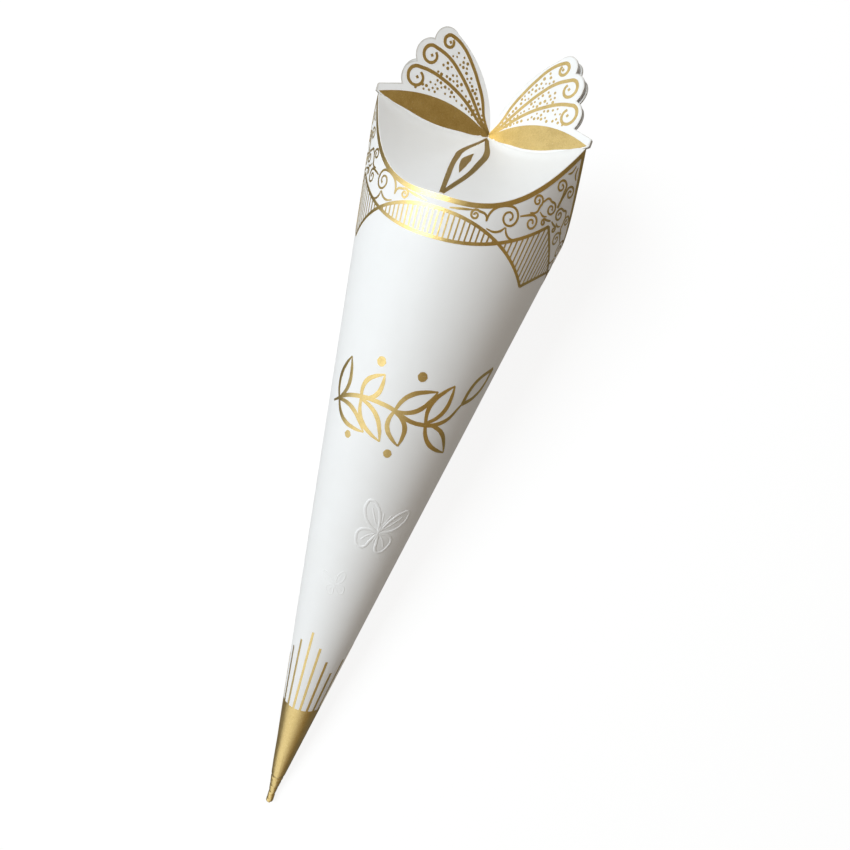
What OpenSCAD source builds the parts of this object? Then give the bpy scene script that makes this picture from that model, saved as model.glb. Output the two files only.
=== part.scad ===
// Paper favour cone: one sheet of card, rolled and glued into a cone.
// Three curved flaps close the mouth, and two of the folds between them
// stand up as butterfly wings of two plies. It lies on its side, tip at low X.
// Sizes are in millimetres. The cone is drawn with its apex at zero and its
// axis along +Z, with the middle of the front flap at azimuth 0.

/* [Cone] */
// Length from the apex along the side to the corners of the mouth
side_len = 220; // [170:5:270]
// Diameter across the corners of the mouth
mouth_d = 64; // [56:1:76]
// Thickness of the card
card_t = 0.4; // [0.3:0.05:0.7]
// Width of the glued lap at the mouth
lap_w = 12; // [8:1:18]
// Azimuth of the middle of the lap
lap_turn = 192; // [188:1:196]
// Turn of the front flap away from straight up
roll = 11; // [0:1:20]
// How far the card gives at the mouth where it lies
rest_flat = 0.1; // [0.04:0.02:0.2]

/* [Tip] */
// Radius of the rolled end
tip_r = 1.15; // [1:0.05:1.6]
// Distance from the apex to the rolled end
tip_cut = 4.2; // [3:0.2:5.4]
// Rounding of the rolled end
tip_round = 0.4; // [0.2:0.1:0.5]
// Distance from the apex up to which the rolled turns fill the tip
tip_fill = 14; // [12:1:20]

/* [Flaps] */
// How far the crease of a flap dips below the corners, along the side
crease_dip = 23; // [16:1:28]
// How flat the crease runs across its middle
crease_power = 2.8; // [2:0.1:3.4]
// Height of the centre of the closure above the corners
centre_rise = 1.3; // [0:0.1:3]
// Sag of the folds that run from the centre to the corners
fold_sag = 3.4; // [1:0.2:5]

/* [Wings] */
// Reach of a wing past the corner of the mouth
wing_over = 0.8; // [0.4:0.1:1.5]
// Distance from the axis to the middle of the top lobe
top_out = 18.8; // [16:0.2:20]
// Height of the middle of the top lobe above the centre
top_up = 16.7; // [15:0.1:19]
// Radius of the top lobe
top_r = 3.5; // [3.2:0.1:4.2]
// Distance from the axis to the middle of the middle lobe
mid_out = 22; // [21:0.2:24]
// Height of the middle of the middle lobe above the centre
mid_up = 12; // [11:0.1:13]
// Radius of the middle lobe
mid_r = 3.95; // [3.6:0.05:4.4]
// Distance from the axis to the middle of the low lobe
low_out = 23.7; // [23:0.1:25]
// Height of the middle of the low lobe above the centre
low_up = 5.4; // [4.8:0.1:6.2]
// Radius of the low lobe
low_r = 4.1; // [3.8:0.05:4.5]
// Bulge of the inner edge of a wing
edge_bulge = 3.2; // [1.5:0.1:4.5]
// Angle between the two plies of a wing
ply_splay = 2.5; // [0:0.5:6]

/* [Gold] */
// Thickness of the stamped foil
foil_t = 0.06; // [0.04:0.01:0.1]
// Distance from the apex to the top of the gold tip
gold_tip = 43; // [34:1:60]
// Depth of the gold line under the creases
crease_line = 1.6; // [0.8:0.1:2.5]
// Number of stripes round the cone above the gold tip
stripes = 18; // [6:6:24]
// Width of a stripe
stripe_w = 0.7; // [0.4:0.1:1.2]
// Length of the stripe below the middle of a flap
stripe_long = 28; // [16:1:40]
// Length of the stripe below a corner
stripe_short = 15; // [8:0.5:16]
// Rise of the arch of a wing's gold base
base_arch = 3.5; // [2.5:0.1:4]
// Bare margin round the gold base
base_margin = 0.4; // [0.2:0.1:0.8]

/* [Hidden] */

$fn = 96;
flaps = 3;
flap_half = 180 / flaps;
columns = 72;
rings = 6;
reach_spare = 1.02;
share_step = 0.02;
turn_step = 1;
plies = 2;

mouth_r = mouth_d / 2;
half_angle = asin(mouth_r / side_len);
corner_z = side_len * cos(half_angle);
centre_z = corner_z + centre_rise;
body_top = corner_z + 1;
reach = reach_spare * side_len / (side_len - crease_dip);
wall = card_t / cos(half_angle);
wing_r = mouth_r + wing_over;
wing_top = centre_z + top_up + top_r;
lap_angle = lap_w / mouth_r * 180 / PI;
stripe_turn = 360 / stripes;
low_end = [low_out + low_r * cos(40), low_up - low_r * sin(40)];
base_in = 1.2;
base_out = wing_r - 1;

// The crease: how far an azimuth is from the middle of its flap, then the
// distance of the crease from the apex, its radius and its height
function off_middle(az) = abs((az + flap_half + 720) % (2 * flap_half) - flap_half);
function crease_len(az) =
    side_len - crease_dip * (1 - pow(off_middle(az) / flap_half, crease_power));
function crease_r(az) = crease_len(az) * sin(half_angle);
function crease_z(az) = crease_len(az) * cos(half_angle);

// Height of the closure at a share of the way from its centre to the crease
function sag_at(az) = fold_sag * pow(off_middle(az) / flap_half, 2);
function closure_z(az, share) =
    centre_z + (crease_z(az) - centre_z) * share
    + 4 * sag_at(az) * (share < 1 ? -share * (1 - share) : share - 1);

// Upright depth of one ply where the closure slopes
function ply_depth(az, share) =
    let (r = crease_r(az), ahead = closure_z(az, share + share_step))
    let (slope = (ahead - closure_z(az, share)) / (share_step * r))
    card_t * sqrt(1 + slope * slope);

// Height over the centre of the fold between two flaps
function fold_up(out) = closure_z(flap_half, out / mouth_r) - centre_z;

// Everything above the closure, or above a surface so far under it
module above_closure(under = 0, lower = 0) {
    ring_points = [for (i = [1 : rings], j = [0 : columns - 1])
        let (az = j * 360 / columns, share = reach * i / rings)
        let (out = share * crease_r(az))
        [out * cos(az), out * sin(az),
         closure_z(az, share) - under * ply_depth(az, share) - lower]];
    top_points = [for (j = [0 : columns - 1])
        let (az = j * 360 / columns, out = reach * crease_r(az))
        [out * cos(az), out * sin(az), wing_top]];
    ends = [[0, 0, centre_z - under * ply_depth(0, 0) - lower], [0, 0, wing_top]];
    first = len(ends);
    last = first + rings * columns;
    fan = [for (j = [0 : columns - 1]) [0, first + j, first + (j + 1) % columns]];
    bands = [for (i = [0 : rings - 1], j = [0 : columns - 1])
        let (a = first + i * columns + j, b = first + i * columns + (j + 1) % columns)
        each [[a, a + columns, b + columns], [a, b + columns, b]]];
    lid = [for (j = [0 : columns - 1]) [1, last + (j + 1) % columns, last + j]];
    polyhedron(concat(ends, ring_points, top_points), concat(fan, bands, lid), convexity = 8);
}

// Solid cone with its rolled end, grown outwards by a skin
module cone_body(skin = 0) {
    grow = skin / cos(half_angle);
    end_r = tip_r + skin;
    end_z = tip_cut - skin;
    rotate_extrude() {
        polygon([
            [0, end_z + tip_round], [end_r, end_z + tip_round],
            [end_r, (end_r - grow) / tan(half_angle)],
            [body_top * tan(half_angle) + grow, body_top], [0, body_top]]);
        translate([0, end_z]) square([end_r - tip_round, 2 * tip_round]);
        translate([end_r - tip_round, end_z + tip_round]) circle(tip_round);
    }
}

// The hollow of the cone, with the rolled turns filling the tip
module hollow() {
    difference() {
        rotate_extrude() polygon([
            [0, tip_fill], [tip_fill * tan(half_angle) - wall, tip_fill],
            [body_top * tan(half_angle) - wall, body_top], [0, body_top]]);
        above_closure(under = 1);
    }
}

// A strip on the cone, from one distance to another along the side, with its
// foot inside the wall
module strip(from, to, angle, thick) {
    foot = wall / 2;
    head = thick / cos(half_angle);
    low = from * cos(half_angle);
    high = to * cos(half_angle);
    rotate([0, 0, -angle / 2]) rotate_extrude(angle = angle) polygon([
        [low * tan(half_angle) - foot, low], [low * tan(half_angle) + head, low],
        [high * tan(half_angle) + head, high], [high * tan(half_angle) - foot, high]]);
}

module lap() rotate([0, 0, lap_turn]) strip(tip_fill, side_len + 1, lap_angle, card_t);

module gold_tip_field() {
    intersection() {
        cone_body(skin = foil_t);
        cylinder(h = gold_tip * cos(half_angle), r = mouth_r);
    }
}

module gold_stripes() {
    for (i = [0 : stripes - 1]) {
        az = i * stripe_turn;
        long = stripe_long + (stripe_short - stripe_long) * off_middle(az) / flap_half;
        turn = stripe_w / ((gold_tip + long / 2) * sin(half_angle)) * 180 / PI;
        rotate([0, 0, az]) strip(gold_tip - 1, gold_tip + long, turn, foil_t / 2);
    }
}

module gold_crease_line() {
    intersection() {
        cone_body(skin = foil_t);
        above_closure(lower = crease_line);
    }
}

// Outline of a wing, with the distance from the axis along X and the height
// over the centre along Y: a fan of three lobes over the fold it grows from
module wing_outline(sink) {
    tangent = [top_out + top_r * cos(130), top_up + top_r * sin(130)];
    chord = norm(tangent);
    bow = (chord * chord / 4 + edge_bulge * edge_bulge) / (2 * edge_bulge);
    side = [-tangent.y, tangent.x] / chord;
    fold_line = [for (i = [20 : -1 : 0])
        let (out = wing_r * i / 20) [out, fold_up(out) - sink]];
    intersection() {
        translate(tangent / 2 + side * (edge_bulge - bow)) circle(bow);
        polygon(concat(
            [[0, top_up + top_r], [top_out, top_up + top_r], [top_out, top_up],
             [mid_out, mid_up], [low_out, low_up], low_end, [wing_r, base_margin]],
            fold_line));
    }
    translate([top_out, top_up]) circle(top_r);
    translate([mid_out, mid_up]) circle(mid_r);
    translate([low_out, low_up]) circle(low_r);
}

// Gold field at the foot of a wing, between the fold and a low arch
module wing_base_outline() {
    span = base_out - base_in;
    foot = fold_up(base_in) + base_margin;
    arch = [for (i = [0 : 20])
        let (u = i / 20) [base_in + span * u, foot + base_arch * 4 * u * (1 - u)]];
    fold_line = [for (i = [19 : -1 : 1])
        let (out = base_in + span * i / 20) [out, fold_up(out) + base_margin]];
    polygon(concat(arch, fold_line));
}

// One ply of a wing with its gold base, leaning away from the other ply
module wing_ply() {
    translate([0, 0, centre_z]) rotate([90 + ply_splay / plies, 0, 0]) {
        color("white") linear_extrude(card_t) wing_outline(card_t);
        color("goldenrod") linear_extrude(card_t + foil_t) wing_base_outline();
    }
}

module wing() {
    wing_ply();
    mirror([0, 1, 0]) wing_ply();
}

module wings() {
    for (side = [-1, 1]) rotate([0, 0, side * flap_half]) wing();
}

module cone_outside() {
    color("white") {
        cone_body();
        lap();
    }
    color("goldenrod") {
        gold_tip_field();
        gold_stripes();
        gold_crease_line();
    }
}

// Lying on its side: the rolled end and the lap at the mouth touch the
// surface, and the lap is flat where it touches
function up_turn(az) = az - roll;
rest_r = crease_r(180 + roll) + wall - rest_flat;
tip_low_z = tip_cut - foil_t + tip_round;
tip_low_r = tip_r + foil_t;
lean = atan((rest_r - tip_low_r) / (crease_z(180 + roll) - tip_low_z));
lift = tip_low_r * cos(lean) - tip_low_z * sin(lean);

// Origin under the middle of the box
function lobe_far(out, up, r, az) =
    (centre_z + up) * cos(lean) - out * cos(up_turn(az)) * sin(lean)
    + r * norm([cos(lean), cos(up_turn(az)) * sin(lean)]);
far_x = max([for (az = [-flap_half, flap_half])
    max(lobe_far(top_out, top_up, top_r, az), lobe_far(mid_out, mid_up, mid_r, az))]);
near_x = (tip_cut - foil_t) * cos(lean) - tip_r * sin(lean);
far_y = max(wing_r * sin(flap_half + roll),
    max([for (az = [0 : -turn_step : -180]) -crease_r(az) * sin(up_turn(az))]));
near_y = max([for (az = [0 : turn_step : 180]) crease_r(az) * sin(up_turn(az))]);

module rest_pose() {
    translate([-(far_x + near_x) / 2, (near_y - far_y) / 2, lift])
        rotate([0, 90 - lean, 0]) rotate([0, 0, 180 - roll]) children();
}

module below_surface() {
    translate([-side_len, -side_len, -mouth_d]) cube([2 * side_len, 2 * side_len, mouth_d]);
}

module folded_card() {
    difference() {
        rest_pose() cone_outside();
        rest_pose() {
            above_closure();
            hollow();
        }
        below_surface();
    }
    rest_pose() wings();
}

folded_card();
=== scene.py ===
from math import atan, atan2, cos, degrees, dist, exp, hypot, pi, radians, sin, sqrt, tan

import bmesh
import bpy
from mathutils import Matrix, Vector


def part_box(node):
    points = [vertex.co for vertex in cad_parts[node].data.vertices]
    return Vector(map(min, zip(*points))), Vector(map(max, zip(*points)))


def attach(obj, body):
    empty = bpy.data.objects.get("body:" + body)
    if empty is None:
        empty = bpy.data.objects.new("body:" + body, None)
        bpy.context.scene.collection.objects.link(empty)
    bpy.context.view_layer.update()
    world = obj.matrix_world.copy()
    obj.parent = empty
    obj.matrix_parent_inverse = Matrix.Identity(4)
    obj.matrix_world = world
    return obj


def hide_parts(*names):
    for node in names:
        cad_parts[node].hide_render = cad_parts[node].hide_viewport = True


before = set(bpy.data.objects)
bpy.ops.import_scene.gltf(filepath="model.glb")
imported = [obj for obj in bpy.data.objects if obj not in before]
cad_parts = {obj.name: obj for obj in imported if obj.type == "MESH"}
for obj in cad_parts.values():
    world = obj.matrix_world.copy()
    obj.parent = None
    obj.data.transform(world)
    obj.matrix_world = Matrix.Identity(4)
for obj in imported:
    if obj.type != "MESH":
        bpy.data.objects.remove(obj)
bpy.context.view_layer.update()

mm = 0.001

# The rolled sheet, in millimetres and degrees. Azimuth 0 is the middle of the
# front flap, and g is the distance from the apex along the side of the cone.
cone = {
    "sideLen": 220.0, "mouthD": 64.0, "cardT": 0.4, "roll": 11.0, "restFlat": 0.1,
    "creaseDip": 23.0, "creasePower": 2.8, "centreRise": 1.3, "foldSag": 3.4,
    "lapW": 12.0, "lapTurn": 192.0, "lapStart": 14.0, "lapFade": 4.0, "tipR": 1.15,
    "tipCut": 4.2, "tipRound": 0.4, "foilT": 0.06, "flapHalf": 60.0, "creaseRound": 0.3,
    "foldRound": 1.1,
}

flapHalf = cone["flapHalf"]
tipCut = cone["tipCut"]
tipR = cone["tipR"]
tipRound = cone["tipRound"]
foldRound = cone["foldRound"]
cardT = cone["cardT"]
mouthR = cone["mouthD"] / 2
sinHalf = mouthR / cone["sideLen"]
cosHalf = sqrt(1 - sinHalf * sinHalf)
tanHalf = sinHalf / cosHalf
cornerZ = cone["sideLen"] * cosHalf
centreZ = cornerZ + cone["centreRise"]
wall = cardT / cosHalf
lapAngle = degrees(cone["lapW"] / mouthR)


def smooth(t):
    t = min(1.0, max(0.0, t))
    return t * t * (3 - 2 * t)


def polar(r, az, z):
    a = radians(az)
    return Vector((r * cos(a), r * sin(a), z))


def offMiddle(az):
    return abs((az + flapHalf + 720) % (2 * flapHalf) - flapHalf)


# From 0 at the middle of a flap to 1 at its corners
def cornerShare(az):
    return offMiddle(az) / flapHalf


def creaseLen(az):
    return cone["sideLen"] - cone["creaseDip"] * (1 - cornerShare(az) ** cone["creasePower"])


def creaseR(az):
    return creaseLen(az) * sinHalf


def creaseZ(az):
    return creaseLen(az) * cosHalf


# Height of the closure at a share of the way from its centre to the crease
def closureZ(az, share):
    sag = cone["foldSag"] * cornerShare(az) ** 2
    bow = -share * (1 - share) if share < 1 else share - 1
    return centreZ + (creaseZ(az) - centreZ) * share + 4 * sag * bow


def foldUp(out):
    return closureZ(flapHalf, out / mouthR) - centreZ


# How far the outer end of the sheet lies over the inner one at an azimuth
def lapRise(az, g):
    turn = (az - cone["lapTurn"] + 180) % 360 - 180
    if g < cone["lapStart"] or turn < -lapAngle / 2:
        return 0.0
    return wall * (1 - smooth((turn - lapAngle / 2 + cone["lapFade"]) / cone["lapFade"]))


# Lying on its side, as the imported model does
restR = creaseR(180 + cone["roll"]) + wall - cone["restFlat"]
tipLowZ = tipCut - cone["foilT"] + tipRound
tipLowR = tipR + cone["foilT"]
lean = atan((restR - tipLowR) / (creaseZ(180 + cone["roll"]) - tipLowZ))
lift = tipLowR * cos(lean) - tipLowZ * sin(lean)
nearX = (tipCut - cone["foilT"]) * cos(lean) - tipR * sin(lean)
nearY = max(creaseR(az) * sin(radians(az - cone["roll"])) for az in range(180))
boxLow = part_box("folded_card")[0] / mm
toRest = (
    Matrix.Scale(mm, 4)
    @ Matrix.Translation((boxLow.x - nearX, boxLow.y + nearY, lift))
    @ Matrix.Rotation(pi / 2 - lean, 4, "Y")
    @ Matrix.Rotation(radians(180 - cone["roll"]), 4, "Z")
)


# From the flat sheet (x across, y away from the apex, lift off the card) to the cone
def rollUp(x, y, rise):
    g = hypot(x, y)
    az = degrees(atan2(x, y)) / sinHalf
    r = g * sinHalf + lapRise(az, g) + rise * cosHalf
    return polar(r, az, g * cosHalf - rise * sinHalf)


# The place on the flat sheet of a distance from the apex and an azimuth
def onSheet(g, az):
    a = radians(az * sinHalf)
    return Vector((g * sin(a), g * cos(a)))


# Set to rest on the surface: what would dip below it lies flat
def settle(point):
    placed = toRest @ point
    placed.z = max(placed.z, 0.0)
    return placed


def newMesh(name, verts, faces):
    mesh = bpy.data.meshes.new(name)
    mesh.from_pydata(verts, [], faces)
    return mesh


def newObject(name, data):
    piece = bpy.data.objects.new(name, data)
    bpy.context.scene.collection.objects.link(piece)
    return piece


# A closed skin over rings of points, with a pole at either end
def tube(name, rings, poles):
    count = len(rings[0])
    last = len(rings) * count
    points = [point for ring in rings for point in ring]
    faces = []
    for start in range(0, last - count, count):
        for j in range(count):
            a, b = start + j, start + (j + 1) % count
            faces.append([a, b, b + count, a + count])
    for pole, start in ((last, 0), (last + 1, last - count)):
        faces += [[pole, start + j, start + (j + 1) % count] for j in range(count)]
    return newMesh(name, [settle(point) for point in points + poles], faces)


def setAttribute(mesh, name, values):
    mesh.attributes.new(name, "FLOAT", "POINT").data.foreach_set("value", values)


def finishMesh(name, mesh, material, sharp=50):
    tidy = bmesh.new()
    tidy.from_mesh(mesh)
    bmesh.ops.remove_doubles(tidy, verts=tidy.verts, dist=1e-7)
    bmesh.ops.recalc_face_normals(tidy, faces=tidy.faces)
    tidy.to_mesh(mesh)
    tidy.free()
    mesh.materials.clear()
    mesh.materials.append(material)
    mesh.shade_smooth()
    mesh.set_sharp_from_angle(angle=radians(sharp))
    return newObject(name, mesh)


# Shader node groups and materials

# Sets a socket to a value, or links it to a socket or to a node's first output
def feed(tree, socket, value):
    if isinstance(value, bpy.types.Node):
        value = value.outputs[0]
    if isinstance(value, bpy.types.NodeSocket):
        tree.links.new(value, socket)
    elif value is not None:
        socket.default_value = value


# Adds a node with its settings, its inputs fed in order or by name. A kind that isn't
# written in full is one of the tree's own family
def addNode(tree, kind, *feeds, **settings):
    node = tree.nodes.new(kind if "Node" in kind else tree.bl_idname[:-len("Tree")] + kind)
    named = {}
    for key, value in settings.items():
        label = key.replace("_", " ")
        if label in node.inputs:
            named[label] = value
        else:
            setattr(node, key, value)
    for label, value in [*enumerate(feeds), *named.items()]:
        feed(tree, node.inputs[label], value)
    return node


# A node tree with its sockets, each given as (name, kind) or (name, kind, value)
def newTree(kind, name, inputs, outputs):
    tree = bpy.data.node_groups.new(name, kind)
    for way, sockets in (("INPUT", inputs), ("OUTPUT", outputs)):
        for label, socketKind, *value in sockets:
            socket = tree.interface.new_socket(
                name=label, in_out=way, socket_type="NodeSocket" + socketKind)
            if value:
                socket.default_value = value[0]
    return tree, tree.nodes.new("NodeGroupInput"), tree.nodes.new("NodeGroupOutput")


feltShare = 0.35


# The tooth of the card: fibres, felt mottle and a few specks, all from Object coordinates
def paperTooth():
    tree, source, result = newTree("ShaderNodeTree", "paper tooth", [
        ("Fibre Scale", "Float", 2600.0), ("Mottle Scale", "Float", 160.0)], [
        ("Height", "Float"), ("Mottle", "Float")])
    place = addNode(tree, "TexCoord").outputs["Object"]
    fine = source.outputs["Fibre Scale"]
    fibre = addNode(tree, "TexNoise", Vector=place, Scale=fine, Detail=4.0, Roughness=0.6)
    felt = addNode(tree, "TexVoronoi", feature="SMOOTH_F1", Vector=place, Scale=fine)
    mottle = addNode(tree, "TexNoise", Vector=place, Scale=source.outputs["Mottle Scale"],
                     Detail=3.0, Roughness=0.55)
    height = addNode(tree, "Math", felt, feltShare, fibre, operation="MULTIPLY_ADD")
    feed(tree, result.inputs["Height"], height)
    feed(tree, result.inputs["Mottle"], mottle)
    return tree


# Where handling rubs a fold or an edge, and painted shade along creases, folds and cut edges: the piece's
# own wear attribute, broken up
def wornShadedFolds():
    tree, source, result = newTree(
        "ShaderNodeTree", "rubbed folds", [("Amount", "Float", 1.0)], [("Mask", "Float")])
    wearAndShade = addNode(tree, "Attribute", attribute_name="wearAndShade").outputs["Fac"]
    place = addNode(tree, "TexCoord").outputs["Object"]
    patches = addNode(tree, "TexNoise", Vector=place, Scale=900.0, Detail=5.0, Roughness=0.7)
    broken = addNode(tree, "Math", wearAndShade, patches, operation="MULTIPLY")
    scaled = addNode(tree, "Math", broken, source.outputs["Amount"],
                     operation="MULTIPLY", use_clamp=True)
    feed(tree, result.inputs["Mask"], scaled)
    return tree


def newMaterial(name):
    material = bpy.data.materials.new(name)
    material.use_nodes = True
    tree = material.node_tree
    return material, tree, tree.nodes["Principled BSDF"]


def useGroup(tree, group, **values):
    node = addNode(tree, "Group", node_tree=group)
    for label, value in values.items():
        feed(tree, node.inputs[label.replace("_", " ")], value)
    return node


# The colour sockets of a Mix node are its seventh and eighth
def mixColours(tree, mask, first, second):
    mix = addNode(tree, "Mix", mask, *[None] * 5, first, second, data_type="RGBA")
    return mix.outputs[2]


tooth = paperTooth()
rubbedAndShaded = wornShadedFolds()


# A material with the tooth of the card in its roughness and its bump
def toothedMaterial(name, look):
    material, tree, surface = newMaterial(name)
    grain = useGroup(tree, tooth, Fibre_Scale=look["fibres"], Mottle_Scale=look["mottle"])
    # The mask of rubbed wear and painted shade along folds and edges
    wearShadeMask = useGroup(tree, rubbedAndShaded, Amount=look["wearAndShade"])
    smoothest, roughest = look["roughness"]
    spread = addNode(tree, "MapRange", Value=grain.outputs["Mottle"],
                     To_Min=smoothest, To_Max=roughest)
    bump = addNode(tree, "Bump", Strength=look["tooth"], Distance=look["bump"],
                   Height=grain.outputs["Height"])
    feed(tree, surface.inputs["Roughness"], spread)
    feed(tree, surface.inputs["Normal"], bump)
    return material, tree, surface, grain, wearShadeMask


card = {
    "white": (0.92, 0.92, 0.925, 1.0),
    "shade": (0.885, 0.88, 0.88, 1.0),
    # Colour of rubbed wear and of painted shade in creases, folds and cut edges
    "rubbedAndShaded": (0.5, 0.46, 0.4, 1.0),
    "roughness": (0.44, 0.64),
    "tooth": 0.22, "bump": 0.00004, "fibres": 2600.0, "mottle": 160.0, "wearAndShade": 1.5,
    "gloss": 0.35, "sheen": 0.05,
}


def whiteCard():
    material, tree, surface, grain, wearShadeMask = toothedMaterial("white card", card)
    mottled = mixColours(tree, grain.outputs["Mottle"], card["white"], card["shade"])
    # Darker where the wear attribute paints rubbed wear and shade along creases, folds and cut edges
    feed(tree, surface.inputs["Base Color"], mixColours(tree, wearShadeMask, mottled, card["rubbedAndShaded"]))
    surface.inputs["Specular IOR Level"].default_value = card["gloss"]
    surface.inputs["Sheen Weight"].default_value = card["sheen"]
    return material


foil = {
    "bright": (0.62, 0.48, 0.21, 1.0),
    "deep": (0.48, 0.35, 0.13, 1.0),
    "bare": (0.8, 0.76, 0.62, 1.0),
    "roughness": (0.22, 0.44),
    "tooth": 1.0, "bump": 0.00004, "fibres": 3000.0, "mottle": 420.0, "wearAndShade": 1.5,
    "grain": 1.6, "grainMiddle": 0.64, "pits": 5200.0, "specks": 0.3, "speckFade": 0.06,
}


def goldFoil():
    material, tree, surface, grain, wearShadeMask = toothedMaterial("gold foil", foil)
    grainy = addNode(tree, "Math", grain.outputs["Height"], foil["grain"],
                     grain.outputs["Mottle"], operation="MULTIPLY_ADD")
    level = addNode(tree, "Math", grainy, foil["grain"] * foil["grainMiddle"],
                    operation="SUBTRACT", use_clamp=True)
    toned = mixColours(tree, level, foil["deep"], foil["bright"])
    # The stamping misses a speck here and there, and cracks where the card is creased
    place = addNode(tree, "TexCoord").outputs["Object"]
    pits = addNode(tree, "TexNoise", Vector=place, Scale=foil["pits"], Detail=2.0)
    missed = addNode(tree, "MapRange", Value=pits, From_Min=foil["specks"],
                     From_Max=foil["specks"] - foil["speckFade"])
    most = addNode(tree, "Math", missed, wearShadeMask, operation="MAXIMUM")
    metal = addNode(tree, "Math", 1.0, most, operation="SUBTRACT", use_clamp=True)
    feed(tree, surface.inputs["Base Color"], mixColours(tree, most, toned, foil["bare"]))
    feed(tree, surface.inputs["Metallic"], metal)
    return material


cardMaterial = whiteCard()
foilMaterial = goldFoil()
print("materials are ready")

# Geometry node trees: ribbons along drawn lines, lines between two guides, scattered dots

def growTree(name, inputs):
    geometry, material = ("Geometry", "Geometry"), ("Material", "Material")
    return newTree("GeometryNodeTree", name, [geometry, *inputs, material], [geometry])


# Ends every tree: plain geometry with its material
def endTree(tree, source, geometry, result):
    real = addNode(tree, "RealizeInstances", geometry)
    painted = addNode(tree, "SetMaterial", Geometry=real, Material=source.outputs["Material"])
    feed(tree, result.inputs["Geometry"], painted)


# Sweeps a flat bar or a round rib, as wide as the line's own radius says, along every line
def sweepBar(tree, source, curve, rib=False):
    if rib:
        profile = addNode(tree, "CurvePrimitiveCircle", Resolution=12, Radius=1.0)
    else:
        bar = addNode(tree, "CurvePrimitiveQuadrilateral", Width=2.0, Height=0.02)
        profile = addNode(tree, "SubdivideCurve", Curve=bar, Cuts=source.outputs["Cuts Across"])
    level = addNode(tree, "SetCurveNormal", mode="Z_UP", Curve=curve)
    radius = addNode(tree, "InputRadius")
    return addNode(tree, "CurveToMesh", Curve=level, Profile_Curve=profile,
                   Scale=radius, Fill_Caps=True)


def ribbonTree(name, rib=False):
    tree, source, result = growTree(name, [
        ("Step", "Float", 0.4), ("Cuts Across", "Int", 1)])
    evenly = addNode(tree, "ResampleCurve", mode="LENGTH",
                     Curve=source.outputs["Geometry"], Length=source.outputs["Step"])
    endTree(tree, source, sweepBar(tree, source, evenly, rib), result)
    return tree


# Draws one line from each point of the lower guide to the same point of the upper one
def hatchTree():
    tree, source, result = growTree("hatch between guides", [
        ("Upper Guide", "Object"), ("Lines", "Int", 10), ("Half Width", "Float", 0.25),
        ("Cuts Across", "Int", 1)])
    upper = addNode(tree, "ObjectInfo", transform_space="ORIGINAL",
                    Object=source.outputs["Upper Guide"])
    stick = addNode(tree, "CurvePrimitiveLine")
    evenly = addNode(tree, "ResampleCurve", Curve=stick, Count=9)
    copies = addNode(tree, "DuplicateElements", domain="SPLINE", Geometry=evenly,
                     Amount=source.outputs["Lines"])
    keep = addNode(tree, "CaptureAttribute")
    keep.capture_items.new("INT", "Line")
    feed(tree, keep.inputs["Geometry"], copies)
    feed(tree, keep.inputs["Line"], copies.outputs["Duplicate Index"])
    place = addNode(tree, "InputPosition")
    ends = [addNode(tree, "SampleIndex", data_type="FLOAT_VECTOR", Geometry=guide,
                    Value=place, Index=keep.outputs["Line"])
            for guide in (source.outputs["Geometry"], upper.outputs["Geometry"])]
    along = addNode(tree, "SplineParameter")
    between = addNode(tree, "ShaderNodeMix", along, *[None] * 3, *ends, data_type="VECTOR")
    moved = addNode(tree, "SetPosition", Geometry=keep, Position=between.outputs[1])
    width = addNode(tree, "SetCurveRadius", Curve=moved, Radius=source.outputs["Half Width"])
    endTree(tree, source, sweepBar(tree, source, width), result)
    return tree


# Scatters small round dots of mixed sizes over a field
def dotTree():
    tree, source, result = growTree("scattered dots", [
        ("Apart", "Float", 1.0), ("Density", "Float", 0.9), ("Smallest", "Float", 0.16),
        ("Largest", "Float", 0.36), ("Seed", "Int", 3)])
    given = source.outputs
    near = addNode(tree, "InputNamedAttribute", data_type="FLOAT", Name="crowd")
    spread = addNode(tree, "DistributePointsOnFaces", distribute_method="POISSON",
                     Mesh=given["Geometry"], Distance_Min=given["Apart"], Density_Max=given["Density"],
                     Density_Factor=near, Seed=given["Seed"])
    size = addNode(tree, "FunctionNodeRandomValue", None, None, given["Smallest"], given["Largest"],
                   data_type="FLOAT", Seed=given["Seed"])
    dot = addNode(tree, "MeshCylinder", Vertices=10, Radius=1.0, Depth=0.02)
    placed = addNode(tree, "InstanceOnPoints", Points=spread, Instance=dot,
                     Scale=size.outputs[1])
    endTree(tree, source, placed, result)
    return tree


ribbons = ribbonTree("foil ribbon")
ribs = ribbonTree("raised rib", rib=True)
hatching = hatchTree()
dotting = dotTree()


# Runs a tree on an object and returns the plain mesh that comes out
def grow(source, tree, values):
    modifier = source.modifiers.new("grow", "NODES")
    modifier.node_group = tree
    keys = {item.name: item.identifier for item in tree.interface.items_tree if item.in_out == "INPUT"}
    for label, value in values.items():
        modifier[keys[label]] = value
    bpy.context.view_layer.update()
    evaluated = source.evaluated_get(bpy.context.evaluated_depsgraph_get())
    mesh = bpy.data.meshes.new_from_object(evaluated)
    source.modifiers.remove(modifier)
    bpy.data.objects.remove(source)
    return mesh


# A drawing: smooth lines of (x, y, half width) on a flat sheet, in millimetres
def drawing(lines, kind="BEZIER"):
    curve = bpy.data.curves.new("drawing", "CURVE")
    curve.dimensions = "3D"
    curve.resolution_u = 12
    for line in lines:
        spline = curve.splines.new(kind)
        points = spline.bezier_points if kind == "BEZIER" else spline.points
        points.add(len(line) - 1)
        for point, (x, y, half) in zip(points, line):
            point.radius = half
            if kind == "BEZIER":
                point.co = (x, y, 0.0)
                point.handle_left_type = point.handle_right_type = "AUTO"
            else:
                point.co = (x, y, 0.0, 1.0)
    return newObject("drawing", curve)


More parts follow.
